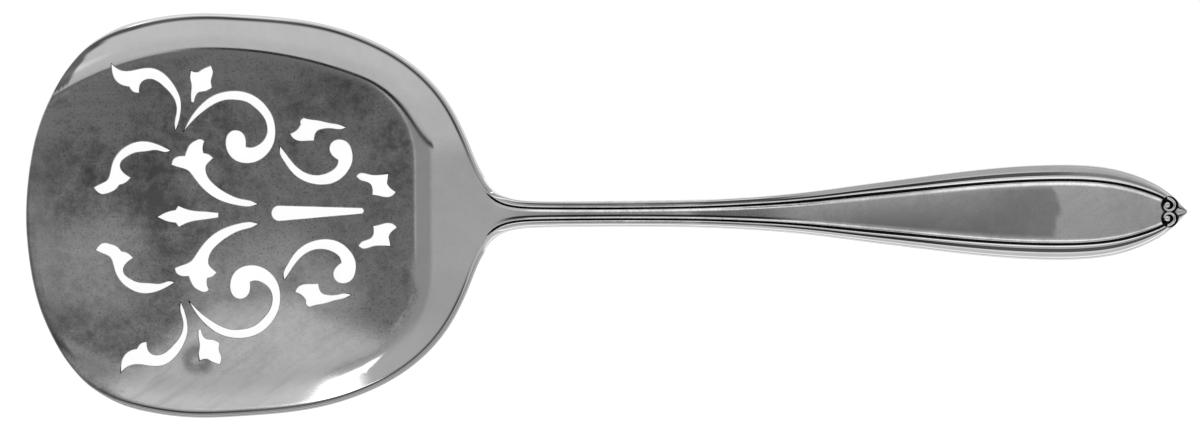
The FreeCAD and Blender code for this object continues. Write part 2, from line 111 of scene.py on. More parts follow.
BLADE_HALF_OUTLINE = [
    (0.0, 0.0), (0.55, 7.6), (2.2, 15.25), (4.25, 20.2), (6.3, 23.8), (8.3, 26.4), (10.3, 28.45),
    (12.4, 30.0), (16.4, 32.1), (20.5, 33.25), (26.6, 34.15), (30.7, 34.3), (36.8, 34.05),
    (42.9, 33.6), (51.0, 32.3), (55.1, 31.1), (59.1, 29.5), (63.2, 27.3), (67.3, 24.2),
    (71.3, 19.7), (73.4, 16.2), (75.4, 11.8), (77.3, 7.4), (78.0, 6.2),
]

# Stations along the handle: distance from the blade root, half width, thickness, share of the relief
HANDLE_STATIONS = [
    (0.0, 6.2, 1.4, 0.0),
    (1.2, 4.55, 1.55, 0.8), (2.6, 3.5, 1.8, 1.0), (4.2, 2.86, 2.1, 1.0), (6.2, 2.5, 2.4, 1.0),
    (9.5, 2.32, 2.7, 1.0), (15.0, 2.25, 2.9, 1.0), (22.0, 2.22, 2.95, 1.0), (29.0, 2.27, 2.85, 1.0),
    (36.3, 2.42, 2.75, 1.0), (43.1, 2.74, 2.65, 1.0), (49.9, 3.22, 2.55, 1.0), (56.7, 3.95, 2.45, 1.0),
    (63.4, 4.85, 2.38, 1.0), (70.2, 5.72, 2.3, 1.0), (77.0, 6.6, 2.22, 1.0), (87.2, 7.68, 2.15, 1.0),
    (97.3, 8.12, 2.05, 1.0), (104.1, 7.75, 1.95, 1.0), (107.5, 7.12, 1.85, 1.0), (110.9, 6.02, 1.75, 1.0),
    (113.3, 4.95, 1.68, 1.0), (115.4, 3.68, 1.62, 1.0), (117.3, 1.98, 1.56, 0.9),
    (118.3, 0.92, 1.52, 0.5), (119.0, 0.16, 1.5, 0.1),
]

# The pierced shapes of one half: stretches between corners, x from the front edge, y from the axis
CORNER_SCROLL = [
    [(15.3, 26.2), (16.4, 25.2), (17.6, 24.85), (19.0, 24.95), (20.8, 25.25), (22.4, 25.15),
     (23.6, 24.6), (25.1, 23.2), (26.2, 21.4), (26.8, 19.5), (26.7, 17.5), (26.2, 15.6), (25.8, 14.6)],
    [(25.8, 14.6), (25.7, 15.6), (26.1, 17.8), (26.0, 19.3), (25.2, 20.9), (24.2, 22.0),
     (22.9, 23.1), (21.5, 23.5), (20.4, 23.1), (19.9, 22.3), (19.8, 21.2)],
    [(19.8, 21.2), (18.9, 21.4), (18.2, 22.3)],
    [(18.2, 22.3), (17.0, 22.6), (15.9, 23.5), (15.4, 24.8), (15.3, 26.2)],
]
OUTER_BUD = [
    [(28.75, 24.6), (29.3, 24.35), (30.0, 24.3)],
    [(30.0, 24.3), (31.0, 24.9), (32.1, 25.3)],
    [(32.1, 25.3), (32.4, 24.2), (32.05, 23.0), (32.15, 21.7)],
    [(32.15, 21.7), (31.0, 21.15), (29.9, 20.95), (29.35, 20.3), (29.05, 19.3)],
    [(29.05, 19.3), (28.65, 19.4)],
    [(28.65, 19.4), (28.65, 20.8), (28.8, 22.2), (28.6, 23.4), (28.75, 24.6)],
]
BIG_SCROLL = [
    [(27.2, 14.4), (28.7, 17.0), (30.2, 18.7), (32.1, 20.1), (34.5, 20.85), (36.9, 20.85),
     (39.3, 20.0), (41.2, 18.3), (42.4, 16.1), (42.7, 13.9), (42.3, 11.8), (41.0, 9.95),
     (39.0, 8.85), (37.3, 8.75), (35.9, 9.2), (34.9, 10.1), (34.35, 11.4), (34.3, 12.6),
     (34.6, 13.5), (35.3, 14.15), (36.2, 14.25), (37.1, 13.8), (37.6, 12.8), (37.6, 11.4)],
    [(37.6, 11.4), (38.4, 11.25), (39.7, 11.6), (40.7, 12.4), (41.3, 13.5), (41.35, 15.0),
     (40.8, 16.5), (39.5, 18.0), (38.0, 19.1), (36.3, 19.5), (34.5, 19.55), (32.5, 18.9),
     (30.6, 17.7), (28.9, 16.3), (27.2, 14.4)],
]
SIDE_LEAF = [
    [(11.7, 5.3), (12.9, 5.9), (14.0, 6.5), (14.55, 7.8), (14.95, 9.3), (15.9, 10.9), (17.3, 12.05),
     (19.0, 12.75), (20.8, 12.8), (22.2, 12.45), (23.6, 11.85), (24.8, 11.2)],
    [(24.8, 11.2), (24.2, 11.0), (22.6, 11.35), (20.8, 11.25), (18.8, 11.05), (17.2, 10.3),
     (16.3, 9.4), (16.2, 8.6), (16.8, 7.6), (17.9, 6.8)],
    [(17.9, 6.8), (17.0, 6.0), (16.0, 5.7)],
    [(16.0, 5.7), (15.3, 4.9), (14.0, 4.35), (13.0, 4.2), (12.2, 4.65), (11.7, 5.3)],
]
FLOWER = [
    [(25.0, 8.8), (25.3, 9.65), (26.1, 10.1), (27.3, 10.15)],
    [(27.3, 10.15), (27.65, 11.2), (28.2, 12.1), (29.1, 12.7), (30.1, 12.9), (30.6, 12.6)],
    [(30.6, 12.6), (30.3, 11.5), (30.4, 10.55)],
    [(30.4, 10.55), (31.3, 10.3), (32.0, 9.7)],
    [(32.0, 9.7), (31.3, 9.1), (30.75, 8.4), (30.7, 7.5), (31.2, 6.2), (32.4, 4.9), (34.5, 3.45),
     (36.5, 2.6), (38.5, 2.1), (39.3, 1.7)],
    [(39.3, 1.7), (38.5, 1.45), (36.5, 1.5), (34.6, 1.95), (32.0, 3.1), (29.7, 5.2), (28.6, 6.7),
     (27.6, 7.85), (26.4, 8.3), (25.0, 8.8)],
]
HOOK_SCROLL = [
    [(43.5, 11.3), (43.4, 10.3), (44.1, 8.8), (45.4, 6.9), (47.0, 5.6), (49.0, 4.85), (51.0, 4.7),
     (53.0, 5.25), (54.7, 6.7), (55.6, 8.5), (55.55, 10.3), (54.9, 11.6), (53.6, 12.15),
     (52.4, 11.8), (51.85, 10.7), (52.2, 9.7), (53.3, 8.75)],
    [(53.3, 8.75), (53.1, 7.9), (52.0, 6.85), (50.5, 6.3), (48.8, 6.3), (47.1, 7.0), (45.5, 8.5),
     (44.4, 10.0), (43.5, 11.3)],
]
LONG_BUD = [
    [(45.3, 13.4), (46.4, 14.0), (47.1, 14.9)],
    [(47.1, 14.9), (47.1, 15.6), (47.6, 16.0)],
    [(47.6, 16.0), (48.5, 15.75), (50.0, 15.5), (52.0, 15.0), (53.8, 14.6), (54.7, 14.2)],
    [(54.7, 14.2), (54.0, 14.0), (52.0, 14.2), (50.6, 14.1), (49.8, 13.8), (49.35, 13.0), (49.2, 12.2)],
    [(49.2, 12.2), (48.0, 12.2), (46.6, 12.25), (45.7, 12.75), (45.3, 13.4)],
]
REAR_BUD = [
    [(56.3, 5.9), (56.8, 6.3), (58.4, 6.1), (60.2, 5.95), (61.65, 6.1)],
    [(61.65, 6.1), (61.5, 5.2), (61.4, 4.6), (61.9, 3.7), (62.8, 3.0)],
    [(62.8, 3.0), (62.2, 2.45), (61.1, 2.25), (60.0, 2.5), (58.9, 2.7)],
    [(58.9, 2.7), (58.95, 3.5), (58.7, 4.4), (57.9, 4.95), (56.8, 5.35), (56.3, 5.9)],
]
PIERCED_PAIRS = [
    CORNER_SCROLL, OUTER_BUD, BIG_SCROLL, SIDE_LEAF, FLOWER, HOOK_SCROLL, LONG_BUD, REAR_BUD,
]
ARROW_LEAF_HALF = [
    [(22.3, 0.0), (23.1, 0.4), (24.1, 0.8), (25.4, 1.05)],
    [(25.4, 1.05), (25.9, 1.75)],
    [(25.9, 1.75), (27.2, 1.15), (28.6, 0.8), (30.5, 0.6), (32.6, 0.35)],
    [(32.6, 0.35), (32.6, -0.35)],
]


# Curves
def natural_spline(knots, values):
    knots = np.asarray(knots, float)
    values = np.asarray(values, float)
    count = len(knots)
    gaps = np.diff(knots)
    matrix = np.zeros((count, count))
    right = np.zeros(count)
    matrix[0, 0] = 1.0
    matrix[-1, -1] = 1.0
    for i in range(1, count - 1):
        matrix[i, i - 1] = gaps[i - 1]
        matrix[i, i] = 2 * (gaps[i - 1] + gaps[i])
        matrix[i, i + 1] = gaps[i]
        right[i] = 6 * ((values[i + 1] - values[i]) / gaps[i] - (values[i] - values[i - 1]) / gaps[i - 1])
    second = np.linalg.solve(matrix, right)

    def evaluate(at):
        at = np.asarray(at, float)
        cell = np.clip(np.searchsorted(knots, at) - 1, 0, count - 2)
        gap = gaps[cell]
        before = (knots[cell + 1] - at) / gap
        after = (at - knots[cell]) / gap
        bend = (before ** 3 - before) * second[cell] + (after ** 3 - after) * second[cell + 1]
        return before * values[cell] + after * values[cell + 1] + bend * gap ** 2 / 6

    return evaluate


def smooth_line(points, step):
    points = np.asarray(points, float)
    knots = np.concatenate([[0.0], np.cumsum(np.hypot(*np.diff(points, axis=0).T))])
    if len(points) == 2:
        count = max(1, int(math.ceil(knots[-1] / step)))
        share = np.linspace(0, 1, count + 1)[:, None]
        return points[0] * (1 - share) + points[1] * share
    along_x = natural_spline(knots, points[:, 0])
    along_y = natural_spline(knots, points[:, 1])
    count = max(2, int(math.ceil(knots[-1] / step)))
    at = np.linspace(0, knots[-1], count + 1)
    return np.stack([along_x(at), along_y(at)], axis=1)


def smooth_share(value, low, high):
    share = np.clip((np.asarray(value, float) - low) / (high - low), 0, 1)
    return share * share * (3 - 2 * share)


def rise_and_fall(value, start, full, falling, end):
    return smooth_share(value, start, full) * (1 - smooth_share(value, falling, end))


# Outline of the whole server, from the front edge along the upper side to the tip
def half_outline():
    handle = [(BLADE_ROOT + station[0], station[1]) for station in HANDLE_STATIONS[1:]]
    right = BLADE_HALF_OUTLINE + handle
    left = [(x, -y) for x, y in reversed(BLADE_HALF_OUTLINE[1:6])]
    line = smooth_line(left + right, 0.05)
    start = int(np.argmin(np.hypot(line[:, 0], line[:, 1])))
    return line[start:]


OUTLINE = half_outline()
ROOT_INDEX = int(np.argmin(np.abs(OUTLINE[:, 0] - BLADE_ROOT) + (OUTLINE[:, 1] < 3) * 9))


def handle_half_width(x):
    return np.interp(x, OUTLINE[ROOT_INDEX:, 0], OUTLINE[ROOT_INDEX:, 1])


STATION_X = [BLADE_ROOT + station[0] for station in HANDLE_STATIONS]
handle_thickness = natural_spline(STATION_X, [station[2] for station in HANDLE_STATIONS])


def handle_relief(x):
    return np.interp(x, STATION_X, [station[3] for station in HANDLE_STATIONS])


# Height of the dished sheet
def outside_flat_zone(x, y):
    x = np.asarray(x, float)
    y = np.abs(np.asarray(y, float))
    rear = BLADE_ROOT - REAR_WALL_RUN
    along = rear - FLAT_WIDEST_AT
    side_y = FLAT_HALF_WIDTH - FLAT_SIDE_RADIUS
    up = ROOT_STRAIGHT - side_y
    corner = (FLAT_SIDE_RADIUS ** 2 - along ** 2 - up ** 2) / (2 * (FLAT_SIDE_RADIUS - along))
    corner_x = rear - corner
    joint = math.atan2(up, corner_x - FLAT_WIDEST_AT)
    front_y = FLAT_HALF_WIDTH - FLAT_FRONT_RADIUS
    to_side = np.where(x < FLAT_WIDEST_AT,
                       np.hypot(x - FLAT_WIDEST_AT, y - front_y) - FLAT_FRONT_RADIUS,
                       np.hypot(x - FLAT_WIDEST_AT, y - side_y) - FLAT_SIDE_RADIUS)
    to_corner = np.hypot(x - corner_x, y - ROOT_STRAIGHT) - corner
    turn = np.arctan2(y - ROOT_STRAIGHT, x - corner_x)
    in_corner = (x > corner_x) & (y > ROOT_STRAIGHT) & (turn <= joint)
    beside_rear = (x > corner_x) & (y <= ROOT_STRAIGHT)
    return np.where(in_corner, to_corner, np.where(beside_rear, x - rear, np.maximum(to_side, -50)))


def wall_rise(x, y):
    apart = outside_flat_zone(x, y)
    half_bend = BEND_RADIUS * math.tan(WALL_SLOPE / 2)
    into = apart + half_bend
    reach = BEND_RADIUS * math.sin(WALL_SLOPE)
    round_part = BEND_RADIUS - np.sqrt(np.maximum(BEND_RADIUS ** 2 - np.clip(into, 0, reach) ** 2, 0))
    return np.where(into <= 0, 0.0, np.where(into < reach, round_part, apart * math.tan(WALL_SLOPE)))


def surface_normal(height, x, y, upward=True):
    small = 0.02
    slope_x = (height(x + small, y) - height(x - small, y)) / (2 * small)
    slope_y = (height(x, y + small) - height(x, y - small)) / (2 * small)
    normal = np.stack([-slope_x, -slope_y, np.ones_like(slope_x)], axis=1)
    normal /= np.linalg.norm(normal, axis=1)[:, None]
    return normal if upward else -normal


# Height of the handle along its middle
def arch_table():
    start_z = SHEET + REAR_WALL_RUN * math.tan(WALL_SLOPE)
    xs = (BLADE_ROOT, BLADE_ROOT + ARCH_RISE_REACH * math.cos(WALL_SLOPE),
          LENGTH - ARCH_FALL_REACH * math.cos(TIP_SLOPE), LENGTH)
    zs = (start_z, start_z + ARCH_RISE_REACH * math.sin(WALL_SLOPE),
          TIP_HEIGHT + ARCH_FALL_REACH * math.sin(TIP_SLOPE), TIP_HEIGHT)
    share = np.linspace(0, 1, 2001)
    weights = ((1 - share) ** 3, 3 * share * (1 - share) ** 2, 3 * share ** 2 * (1 - share), share ** 3)
    return sum(map(np.multiply, weights, xs)), sum(map(np.multiply, weights, zs))


ARCH_X, ARCH_Z = arch_table()


def arch_height(x):
    return np.interp(x, ARCH_X, ARCH_Z)


# How worn the metal is, with painted reflection in its tone: the flat of the blade is dulled and painted
# darker, its lower third is scuffed and painted lighter as a painted sheen, and the panel of the handle has
# a tarnish that ends in a clear line painted as a reflection edge
SCUFF_AND_SHEEN_EDGE = [(0, -36), (14, -29.5), (24.5, -19.5), (31.5, -14), (45, -12), (53, -17), (62, -21), (78, -30)]
TARNISH_AND_REFLECTION_END = 175.0


def panel_half_width(x):
    half_width = handle_half_width(x)
    return half_width - border_width(half_width) - thread_width(half_width)


def worn_and_dark_reflection(x, y):
    # The dulled flat, darkened partly by tarnish and partly by painted dark reflection, with a thinner film
    # at the very front and along the panel of the handle
    reach = 1.6 * smooth_share(x, 52, 64) * smooth_share(-y, 9, 15)
    blade = 1 - smooth_share(outside_flat_zone(x, y) - reach, -2.4, -1.8)
    front = smooth_share(-y, 4, 10) * (1 - smooth_share(x, 15, 24))
    blade = np.maximum(blade, 0.9 * front) * (0.45 + 0.55 * smooth_share(x, 1, 7))
    across = np.abs(y) / np.maximum(handle_half_width(x), 0.1)
    handle = 0.5 * (1 - smooth_share(across, 0.55, 0.75)) * smooth_share(x, 80, 96)
    return np.where(x < BLADE_ROOT, blade, handle)


def tarnish_and_reflection_edge_mask(x, y):
    # The tarnish film thickens along the panel, first on its lower side, up to a wavy line that is a
    # painted reflection edge
    panel = panel_half_width(x)
    wave = 0.35 * np.sin(y * 0.9 + 0.6) + 0.15 * np.sin(y * 2.3 + 1) - 0.15 * np.abs(y)
    film = 0.5 * smooth_share(x, 126, 144) + 0.45 * smooth_share(x, 142, 172)
    lower = 0.9 * (1 - smooth_share(x, 145, 172))
    film = film * (1 - lower * y / np.maximum(panel, 0.5))
    film = film * (1 - smooth_share(x, TARNISH_AND_REFLECTION_END + wave - 0.35, TARNISH_AND_REFLECTION_END + wave + 0.35))
    return np.clip(film, 0, 1) * (1 - smooth_share(np.abs(y) - panel, -0.2, 0.15))


def scuffed_and_sheen(x, y):
    # Fully scuffed below the edge line, save for the bright bend at the lower right and a round stain. The
    # scuff mask roughens the metal and also paints it lighter, a painted sheen
    edge = np.interp(x, [point[0] for point in SCUFF_AND_SHEEN_EDGE], [point[1] for point in SCUFF_AND_SHEEN_EDGE])
    blade = smooth_share(edge - y, -3.0, 5.0)
    slant = x - 45.5 - 0.9 * (y + 33.5)
    glossy = smooth_share(slant, -4, 3) * smooth_share(outside_flat_zone(x, y), -0.9, 0.1)
    rim = 0.8 * smooth_share(-y, 5, 12) * smooth_share(outside_flat_zone(x, y), -3.0, -1.5)
    rim = rim * (1 - smooth_share(slant, -4, 3)) * (0.5 + 0.5 * smooth_share(x - 0.3 * (y + 30), 13, 18))
    blade = blade * smooth_share(x - 0.3 * (y + 30), 12, 17)
    blade = blade * (1 - 0.7 * smooth_share(-np.abs(np.hypot(x - 29, y + 24.5) - 1.6), -1.6, -0.2))
    faint = 0.38 * smooth_share(edge + 9 - y, -4, 5) * rise_and_fall(x, 22, 30, 52, 60)
    ahead = 0.32 * rise_and_fall(-y, -3, 5, 13, 20) * (1 - smooth_share(x, 13, 24))
    blade = np.maximum(blade, np.maximum(faint, ahead))
    panel = panel_half_width(x)
    handle = 0.6 * smooth_share(x, 116, 134) * (1 - smooth_share(np.abs(y) - panel, 0.05, 0.3))
    across = np.abs(y) / np.maximum(handle_half_width(x), 0.1)
    shank = 0.95 * rise_and_fall(x, 86, 98, 110, 120) * smooth_share(across, 0.7, 0.8)
    shank = shank * smooth_share(y, 0.0, 0.5)
    border = 0.45 * smooth_share(x, 168, 180) * smooth_share(y - panel, 0.9, 1.3)
    handle = np.maximum(handle, np.maximum(shank, border))
    return np.where(x < BLADE_ROOT, np.maximum(blade * (1 - glossy), rim), handle)


def blade_round(x):
    # The upper edge is rounded less at the front
    return FRONT_ROUND + (TOP_ROUND - FRONT_ROUND) * smooth_share(x, 8, 19)


def blade_stains_and_dark_reflection(x, y):
    # Stains and painted dark reflection: the lower front of the rim is darkened like the flat beside it,
    # and the flat is painted darker above
    stain_and_dark_reflection = smooth_share(-y, 8, 15) * (1 - smooth_share(x - 0.3 * (y + 30), 11, 17))
    apart = outside_flat_zone(x, y)
    above = 0.17 * smooth_share(y, 13, 21) * smooth_share(x, 12, 26)
    above = above + 0.3 * smooth_share(y, 1, 8) * (1 - smooth_share(x, 18, 28))
    above = above * (1 - smooth_share(apart, -2.6, -1.9))
    return np.maximum(0.36 * stain_and_dark_reflection * smooth_share(apart, -1.6, 0.4), above)


def painted_shank_lines(x, y):
    # Painted dark lines along the shank: a painted reflection on the upper border, and painted shade at the
    # foot of the lower thread
    half_width = handle_half_width(x)
    band = thread_width(half_width)
    panel = panel_half_width(x)
    start = panel + band * 1.25
    share = (np.abs(y) - start) / np.maximum(half_width - start, 0.1)
    upper = 0.85 * (1 - smooth_share(np.abs(share - 0.5), 0.06, 0.2)) * (y > 0)
    lower = 0.95 * (1 - smooth_share(np.abs(np.abs(y) - panel - 0.12 * band), 0.13, 0.28)) * (y < 0)
    upper = upper * smooth_share(x, 80, 86)
    lower = lower * smooth_share(x, 79, 83)
    along = 1 - smooth_share(x, 124, 136)
    return np.where(x > BLADE_ROOT, np.maximum(upper, lower) * along, 0.0)


def from_outline(x, y):
    apart = np.full(len(x), 9.0)
    some = np.nonzero((x < BLADE_ROOT) & ((outside_flat_zone(x, y) > 0.5) | (x < 10)))[0]
    line = OUTLINE[: ROOT_INDEX + 1: 4]
    for start in range(0, len(some), 4000):
        part = some[start:start + 4000]
        gap = np.hypot(x[part, None] - line[None, :, 0], np.abs(y[part, None]) - line[None, :, 1])
        apart[part] = gap.min(axis=1)
    return apart


def facing_out(face, places, normals):
    a, b, c = places[face[0]], places[face[1]], places[face[2]]
    across = np.cross(b - a, c - b)
    if len(face) > 3:
        across = across + np.cross(c - places[face[0]], places[face[3]] - c)
    wanted = normals[face[0]] + normals[face[1]] + normals[face[2]]
    return face if np.dot(across, wanted) >= 0 else tuple(face[::-1])


# One mesh gathered from several surfaces: places, normals, faces and the painted shade in hollows
class Gathered:
    def __init__(self):
        self.places = []
        self.normals = []
        self.painted_shade = []
        self.faces = []
        self.count = 0

    def add(self, places, normals, painted_shade, faces):
        start = self.count
        self.places.append(np.asarray(places, float))
        self.normals.append(np.asarray(normals, float))
        self.painted_shade.append(np.broadcast_to(np.asarray(painted_shade, float), (len(places),)))
        self.faces.extend(tuple(start + i for i in face) for face in faces)
        self.count += len(places)

    def strip(self, rows, normals, painted_shade, closed):
        rows = np.asarray(rows, float)
        normals = np.asarray(normals, float)
        high, wide = rows.shape[:2]
        faces = []
        for i in range(high - 1):
            for j in range(wide if closed else wide - 1):
                k = (j + 1) % wide
                faces.append((i * wide + j, i * wide + k, (i + 1) * wide + k, (i + 1) * wide + j))
        painted_shade = np.broadcast_to(np.asarray(painted_shade, float), rows.shape[:2]).reshape(-1)
        self.add(rows.reshape(-1, 3), normals.reshape(-1, 3), painted_shade, faces)

    def build(self, name):
        places = np.concatenate(self.places)
        normals = np.concatenate(self.normals)
        painted_shade = np.concatenate(self.painted_shade)
        raw_x, raw_y = places[:, 0], places[:, 1]
        wear_and_dark_reflection = worn_and_dark_reflection(raw_x, raw_y)
        apart = from_outline(raw_x, raw_y)
        scuff_and_sheen = scuffed_and_sheen(raw_x, raw_y) * smooth_share(apart, 1.0, 1.8)
        side = smooth_share(-raw_y, -12, 12)
        # A painted dark reflection along the outermost edge of the outline
        painted_edge_reflection = (0.3 + 0.25 * side) * (1 - smooth_share(apart, 0.25 + 0.3 * side, 0.45 + 0.35 * side))
        # A painted dark reflection along the rounded upper edge, broader at the upper left corner
        corner = rise_and_fall(raw_y, 20.5, 22.5, 22, 34) * (raw_x < 30)
        scale = blade_round(raw_x) / TOP_ROUND
        inner = np.maximum(1.04 * scale, 0.42) + 0.95 * corner
        line = rise_and_fall(apart, 0.66 * scale - 0.1, 0.86 * scale, inner, inner + 0.17)
        strength = 0.2 + 0.66 * smooth_share(raw_x, 5, 12)
        strength = np.maximum(strength, 0.78 * smooth_share(corner, 0.0, 0.3))
        line = line * smooth_share(np.abs(raw_y), 6, 16) * (strength - 0.12 * side)
        painted_shade = np.maximum(painted_shade, np.maximum(painted_edge_reflection, line))
        # Painted marks: stains with painted dark reflection on the blade, painted lines on the shank
        marks = np.where(raw_x < BLADE_ROOT, blade_stains_and_dark_reflection(raw_x, raw_y), painted_shank_lines(raw_x, raw_y))
        painted_shade = np.where(normals[:, 2] > 0.1, np.maximum(painted_shade, marks), painted_shade)
        faces = [facing_out(face, places, normals) for face in self.faces]
        places = (places - np.array([ORIGIN_X, 0, 0])) * MM
        mesh = bpy.data.meshes.new(name)
        mesh.from_pydata(places.tolist(), [], faces)
        mesh.update()
        mesh.polygons.foreach_set("use_smooth", [True] * len(mesh.polygons))
        lengths = np.linalg.norm(normals, axis=1)
        normals = normals / np.maximum(lengths, 1e-9)[:, None]
        tarnish_and_reflection_edge = tarnish_and_reflection_edge_mask(raw_x, raw_y)
        for label, values in (("painted_shade", painted_shade), ("wear_and_dark_reflection", wear_and_dark_reflection), ("scuff_and_sheen", scuff_and_sheen), ("tarnish_and_reflection_edge", tarnish_and_reflection_edge)):
            layer = mesh.attributes.new(label, "FLOAT", "POINT")
            layer.data.foreach_set("value", values)
        mesh.normals_split_custom_set_from_vertices(normals.tolist())
        piece = bpy.data.objects.new(name, mesh)
        bpy.context.scene.collection.objects.link(piece)
        return piece


# Rings that round an edge: the first ring lies on the face, the last one on the wall
def rounding(radius, steps=5):
    rings = []
    for i in range(steps + 1):
        angle = math.pi / 2 * i / steps
        rings.append((radius * (1 - math.sin(angle)), radius * (1 - math.cos(angle)), angle))
    return rings


# The blade
def blade_edge():
    upper = OUTLINE[: ROOT_INDEX + 1]
    run = np.concatenate([[0], np.cumsum(np.hypot(*np.diff(upper, axis=0).T))])
    count = int(run[-1] / OUTLINE_STEP)
    at = np.linspace(0, run[-1], count + 1)
    upper = np.stack([np.interp(at, run, upper[:, 0]), np.interp(at, run, upper[:, 1])], axis=1)
    upper[-1, 0] = BLADE_ROOT
    lower = upper[1:][::-1] * np.array([1, -1])
    edge = np.concatenate([lower, upper])
    ahead = np.gradient(edge, axis=0)
    ahead /= np.linalg.norm(ahead, axis=1)[:, None]
    outward = np.stack([-ahead[:, 1], ahead[:, 0]], axis=1)
    middle = len(edge) // 2
    if outward[middle, 0] > 0:
        outward = -outward
    return edge, outward


def inset_edge(edge, outward, inset):
    ring = edge - outward * inset[:, None]
    lean = np.abs(outward[-1, 1])
    ring[0] = (BLADE_ROOT, edge[0, 1] + inset[0] / lean)
    ring[-1] = (BLADE_ROOT, edge[-1, 1] - inset[-1] / lean)
    ring[1:-1, 0] = np.minimum(ring[1:-1, 0], BLADE_ROOT - 0.02)
    return ring


def turned_pattern(loop):
    about = loop - np.array([PATTERN_PIVOT, 0])
    cosine = math.cos(PATTERN_TILT)
    sine = math.sin(PATTERN_TILT)
    along = about[:, 0] * cosine - about[:, 1] * sine
    across = about[:, 0] * sine + about[:, 1] * cosine
    return np.stack([along, across], axis=1) + np.array([PATTERN_PIVOT, PATTERN_SHIFT])


def teardrop_loop():
    big_x = TEARDROP_FRONT + TEARDROP_RADIUS
    small_x = TEARDROP_REAR - TEARDROP_END_RADIUS
    lean = math.acos((TEARDROP_RADIUS - TEARDROP_END_RADIUS) / (small_x - big_x))
    around = np.linspace(lean, 2 * math.pi - lean, 40)
    big = np.stack([big_x + TEARDROP_RADIUS * np.cos(around), TEARDROP_RADIUS * np.sin(around)], axis=1)
    around = np.linspace(-lean, lean, 14)
    small = np.stack([small_x + TEARDROP_END_RADIUS * np.cos(around),
                      TEARDROP_END_RADIUS * np.sin(around)], axis=1)
    lower_side = smooth_line([big[-1], small[0]], 0.4)[1:-1]
    upper_side = smooth_line([small[-1], big[0]], 0.4)[1:-1]
    return np.concatenate([big, lower_side, small, upper_side])


def pierced_loops():
    shapes = []
    for shape in PIERCED_PAIRS:
        shapes.append(shape)
        shapes.append([[(x, -y) for x, y in stretch] for stretch in shape])
    back = [list(reversed([(x, -y) for x, y in stretch])) for stretch in reversed(ARROW_LEAF_HALF[:-1])]
    shapes.append(ARROW_LEAF_HALF + back)
    loops = []
    for shape in shapes:
        loops.append(np.concatenate([smooth_line(stretch, HOLE_STEP)[:-1] for stretch in shape]))
    loops.append(teardrop_loop())
    loops = [turned_pattern(loop) for loop in loops]
    for i, loop in enumerate(loops):
        following = np.roll(loop, -1, axis=0)
        area = np.sum(loop[:, 0] * following[:, 1] - following[:, 0] * loop[:, 1]) / 2
        if area < 0:
            loops[i] = loop[::-1]
    return loops


def directions(loop):
    # Unit directions into and out of each point of a closed line
    steps = (loop - np.roll(loop, 1, axis=0), np.roll(loop, -1, axis=0) - loop)
    return [step / np.linalg.norm(step, axis=1)[:, None] for step in steps]


def loop_outward(loop):
    before, after = directions(loop)
    first = np.stack([before[:, 1], -before[:, 0]], axis=1)
    second = np.stack([after[:, 1], -after[:, 0]], axis=1)
    mean = first + second
    mean /= np.maximum(np.linalg.norm(mean, axis=1), 1e-6)[:, None]
    stretch = 1 / np.clip(np.sum(mean * first, axis=1), 0.6, 1)
    return mean, stretch


# Painted shade at the sharp tips of a hole
def tip_darkness(loop):
    before, after = directions(loop)
    left_turn = before[:, 0] * after[:, 1] - before[:, 1] * after[:, 0] > 0
    sharp = left_turn & (np.sum(before * after, axis=1) < -0.2)
    if not sharp.any():
        return np.zeros(len(loop))
    tips = loop[sharp]
    apart = np.hypot(loop[:, None, 0] - tips[None, :, 0], loop[:, None, 1] - tips[None, :, 1]).min(axis=1)
    return 1 - smooth_share(apart, 0.5, 1.3)


def inside_loop(points, loop):
    x, y = points[:, 0], points[:, 1]
    inside = np.zeros(len(points), bool)
    following = np.roll(loop, -1, axis=0)
    for (ax, ay), (bx, by) in zip(loop, following):
        crosses = (ay > y) != (by > y)
        with np.errstate(divide="ignore", invalid="ignore"):
            at = (bx - ax) * (y - ay) / (by - ay) + ax
        inside ^= crosses & (x < at)
    return inside


def near_loop(points, loop, reach):
    near = np.zeros(len(points), bool)
    low = loop.min(axis=0) - reach
    high = loop.max(axis=0) + reach
    some = np.nonzero(np.all((points > low) & (points < high), axis=1))[0]
    for start in range(0, len(some), 2000):
        part = some[start:start + 2000]
        apart = np.hypot(points[part, None, 0] - loop[None, :, 0], points[part, None, 1] - loop[None, :, 1])
        near[part] = apart.min(axis=1) < reach
    return near


def filled_sheet(outer, root_points, loops):
    # A triangulated plan: grid points between the outer line and the holes
    boundary = np.concatenate([outer, root_points])
    xs = np.arange(0.4, BLADE_ROOT, GRID_STEP)
    ys = np.arange(-35, 35, GRID_STEP * 0.87)
    grid = np.array([(x + (GRID_STEP / 2 if j % 2 else 0), y) for j, y in enumerate(ys) for x in xs])
    keep = inside_loop(grid, boundary) & ~near_loop(grid, boundary, GRID_STEP * 0.5)
    keep &= grid[:, 0] < BLADE_ROOT - 0.3
    for loop in loops:
        keep &= ~near_loop(grid, loop, GRID_STEP * 0.35)
        keep &= ~inside_loop(grid, loop)
    grid = grid[keep]
    points = [boundary] + loops + [grid]
    edges = []
    start = 0
    for loop in [boundary] + loops:
        edges.extend((start + i, start + (i + 1) % len(loop)) for i in range(len(loop)))
        start += len(loop)
    flat = np.concatenate(points)
    found = delaunay_2d_cdt([Vector(p) for p in flat.tolist()], edges, [], 0, 1e-6)
    places = np.array([tuple(v) for v in found[0]])
    faces = np.array([face for face in found[2] if len(face) == 3])
    middles = places[faces].mean(axis=1)
    wanted = inside_loop(middles, boundary)
    for loop in loops:
        wanted &= ~inside_loop(middles, loop)
    return places, faces[wanted]


def lifted(points, height):
    return np.concatenate([points, height(points[:, 0], points[:, 1])[:, None]], axis=1)


def top_height(x, y):
    return wall_rise(x, y) + SHEET


